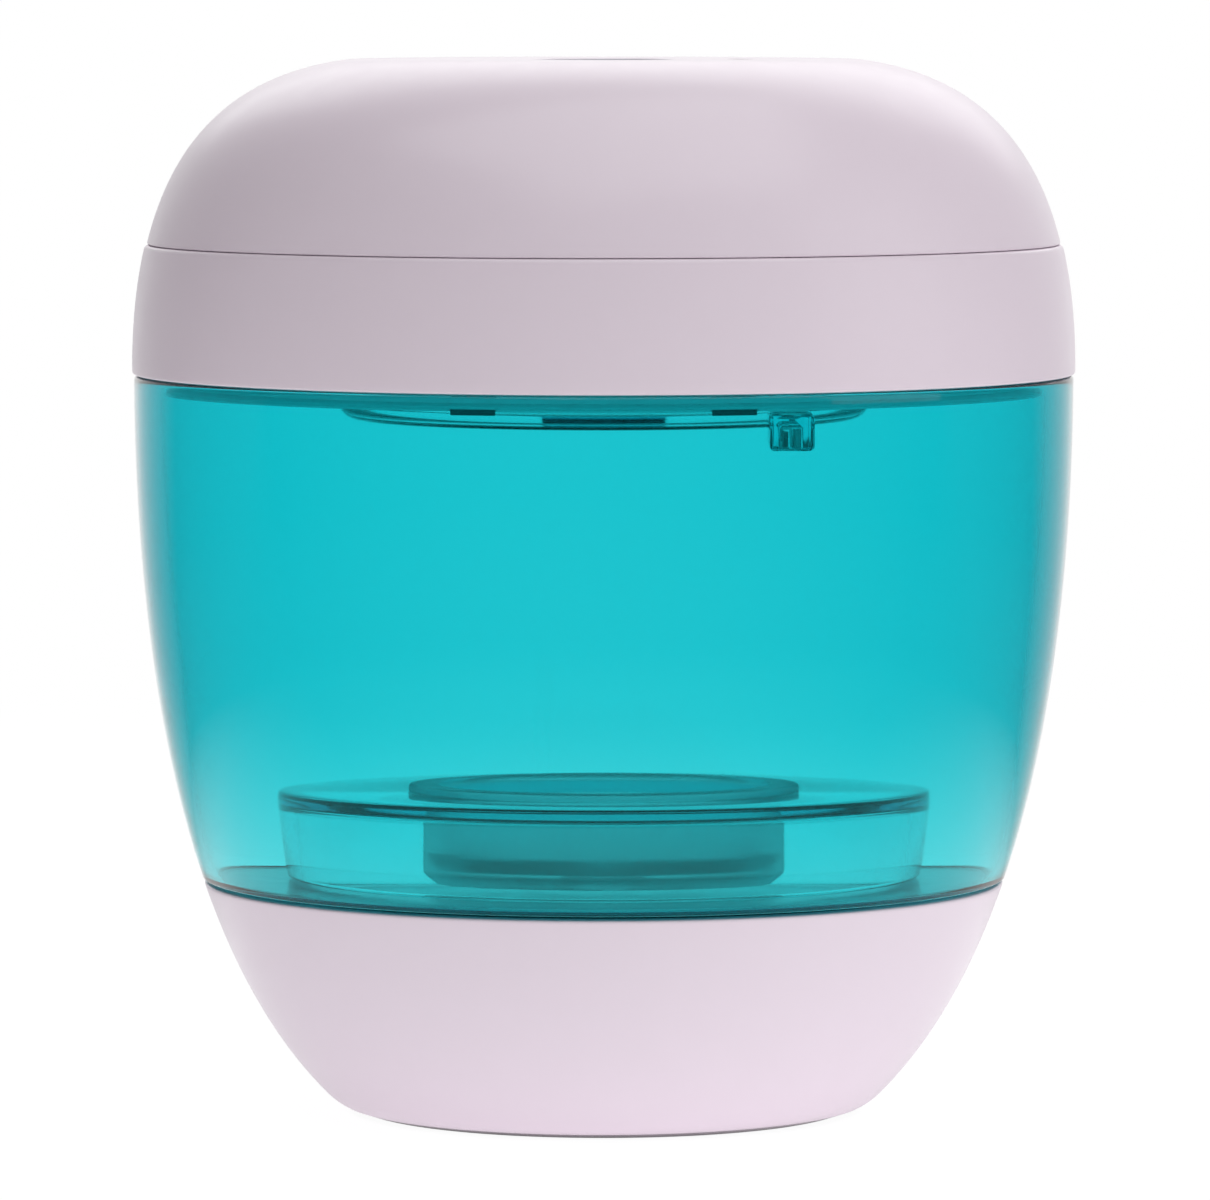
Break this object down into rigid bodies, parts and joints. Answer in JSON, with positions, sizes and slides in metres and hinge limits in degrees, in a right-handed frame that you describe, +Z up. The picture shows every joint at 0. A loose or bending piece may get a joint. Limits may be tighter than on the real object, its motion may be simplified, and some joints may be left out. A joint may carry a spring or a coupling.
{
  "type": "pacifier sterilizer case",
  "caption": "Egg-shaped pacifier sterilizer case with a clear teal chamber, white weighted base, lift-out holder and a hinged lamp lid.",
  "frame": {"origin": "centre of the flat underside that the case stands on", "axes": "+Z up through the centre of the round body, -Y the front, +Y the hinge side"},
  "size_m": [0.0762, 0.0802, 0.0852],
  "materials": {
    "shell_white": "satin moulded white with a faint lilac cast",
    "chamber_teal": "clear tinted teal, polished",
    "holder_teal": "clear tinted teal, polished",
    "cup_silicone": "soft silicone, frosted, see-through",
    "pad_rubber": "fine matte",
    "steel": "plated",
    "zinc_plate": "zinc plated",
    "seal_rubber": "pale satin silicone, dark grip tabs",
    "inner_white": "satin",
    "cover_clear": "clear, polished",
    "reflector_foil": "bright rolled",
    "lamp_glass": "clear tube",
    "boot_rubber": "matte",
    "lead_sleeve": "satin sleeve",
    "red_sleeve": "satin sleeve",
    "tray_plastic": "fine matte",
    "cell_wrap": "satin pouch foil",
    "board_green": "solder resist",
    "winding_tape": "yellow tape",
    "capacitor_sleeve": "satin sleeve",
    "chip_black": "matte",
    "led_white": "diffuse lens",
    "pipe_clear": "clear",
    "socket_metal": "bright plated",
    "button_teal": "satin tinted"
  },
  "bodies": {
    "base": {"base_shell": "shell_white", "foot_pad": "pad_rubber", "ballast_disc": "zinc_plate", "ballast_screws": "steel", "chamber": "chamber_teal", "hinge_pin": "steel"},
    "holder": {"pacifier_holder": "holder_teal", "holder_cup": "cup_silicone"},
    "lid": {"lid_ring": "shell_white", "lid_cap": "shell_white", "inner_plate": "inner_white", "lid_seal": "seal_rubber", "lamp_cover": "cover_clear", "lamp_reflector": "reflector_foil", "uv_lamp": "lamp_glass", "lamp_boots": "boot_rubber", "lamp_leads": "lead_sleeve", "battery_tray": "tray_plastic", "battery": "cell_wrap", "charge_leads": "red_sleeve", "circuit_board": "board_green", "board_screws": "steel", "lamp_transformer": "winding_tape", "board_capacitors": "capacitor_sleeve", "board_chips": "chip_black", "key_switch": "chip_black", "status_led": "led_white", "light_pipe": "pipe_clear", "charge_board": "board_green", "charge_socket": "socket_metal", "interlock_switch": "chip_black", "lid_screws": "steel"},
    "button": {"power_button": "button_teal"},
    "plunger": {"interlock_plunger": "inner_white"}
  },
  "joints": [
    {"name": "lid_hinge", "type": "hinge", "parent": "base", "child": "lid", "pos_m": [0, 0.0398, 0.062], "axis": [-1, 0, 0], "range_deg": [0, 100]},
    {"name": "holder_lift", "type": "slide", "parent": "base", "child": "holder", "axis": [0, 0, 1], "range_m": [0, 0.025]},
    {"name": "button_press", "type": "slide", "parent": "lid", "child": "button", "axis": [0, 0, -1], "range_m": [0, 0.0006], "stiffness_N_per_m": 800},
    {"name": "plunger_slide", "type": "slide", "parent": "lid", "child": "plunger", "axis": [0, 0, -1], "range_m": [0, 0.0012]}
  ],
  "couplings": [
    {"joint": "plunger_slide", "follows": "lid_hinge", "m_per_rad": 0.000687}
  ]
}
